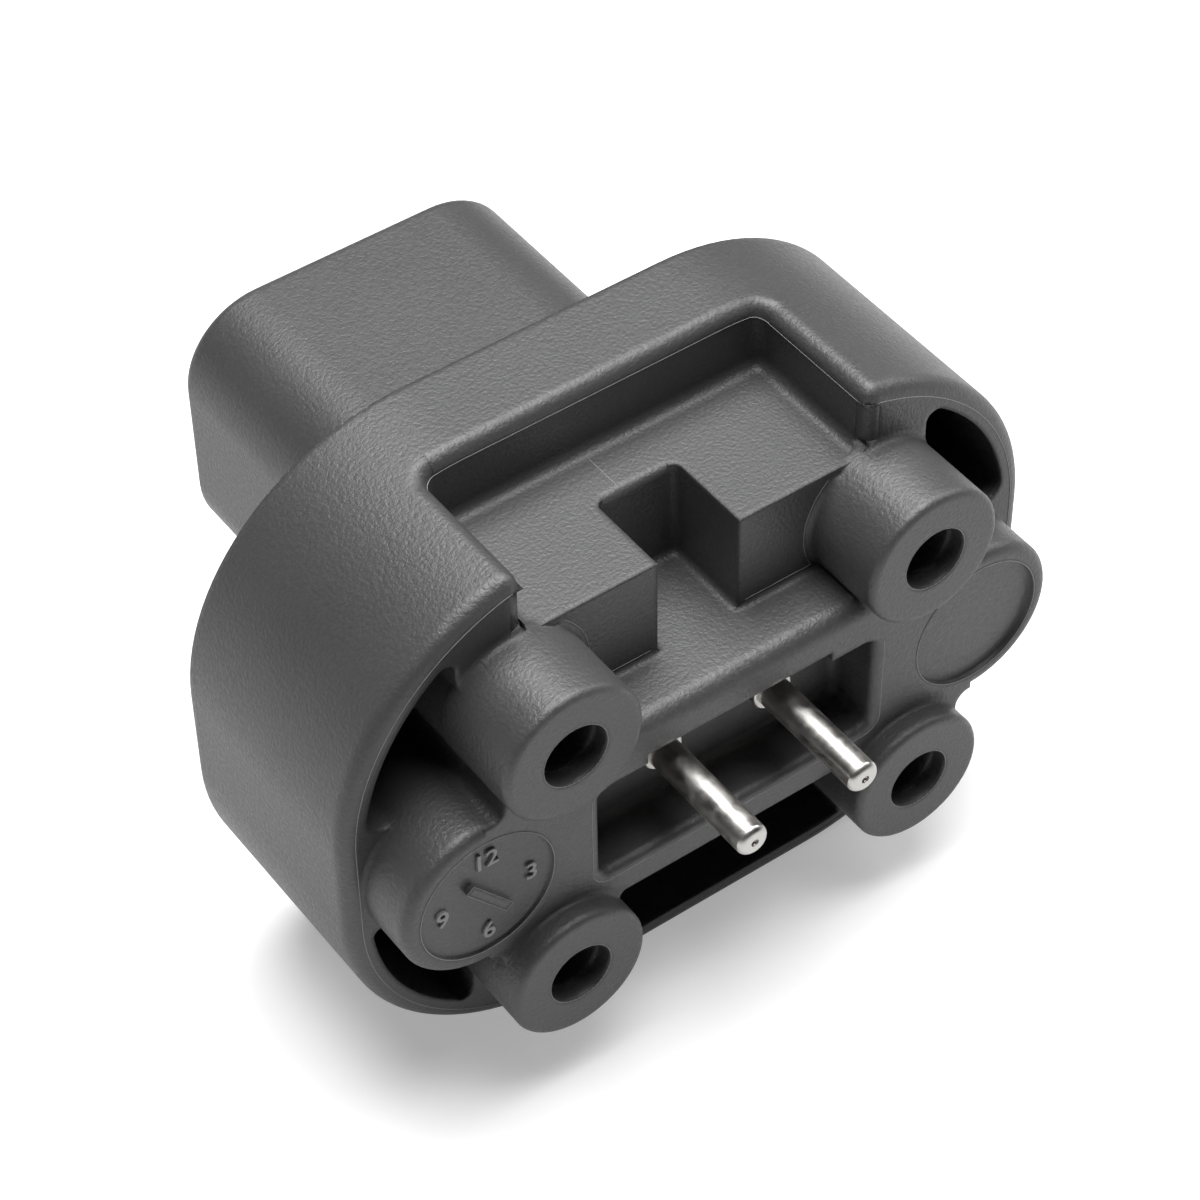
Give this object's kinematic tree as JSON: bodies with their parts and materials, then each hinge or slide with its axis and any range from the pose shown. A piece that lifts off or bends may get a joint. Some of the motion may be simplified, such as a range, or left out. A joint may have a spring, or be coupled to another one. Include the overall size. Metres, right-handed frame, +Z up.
{
  "type": "printed circuit board connector",
  "caption": "Power connector for a circuit board: moulded skirt with pockets and four screw bosses, solder pins through its core and a shrouded socket behind.",
  "frame": {"origin": "centre of the four screw holes, in the plane of the bosses' ends where the circuit board lies", "axes": "-Y points out of the screw holes towards the board, +Y out of the mating socket, +X along the long side of the skirt, +Z up towards the notch"},
  "size_m": [0.047, 0.0455, 0.036],
  "materials": {
    "grey_plastic": "fine spark-eroded grain, glass-filled moulding",
    "tinned_pin": "turned brass, tin plated, lightly scratched"
  },
  "bodies": {
    "root": {"housing": "grey_plastic", "contact_pin_left": "tinned_pin", "contact_pin_right": "tinned_pin"}
  },
  "joints": []
}
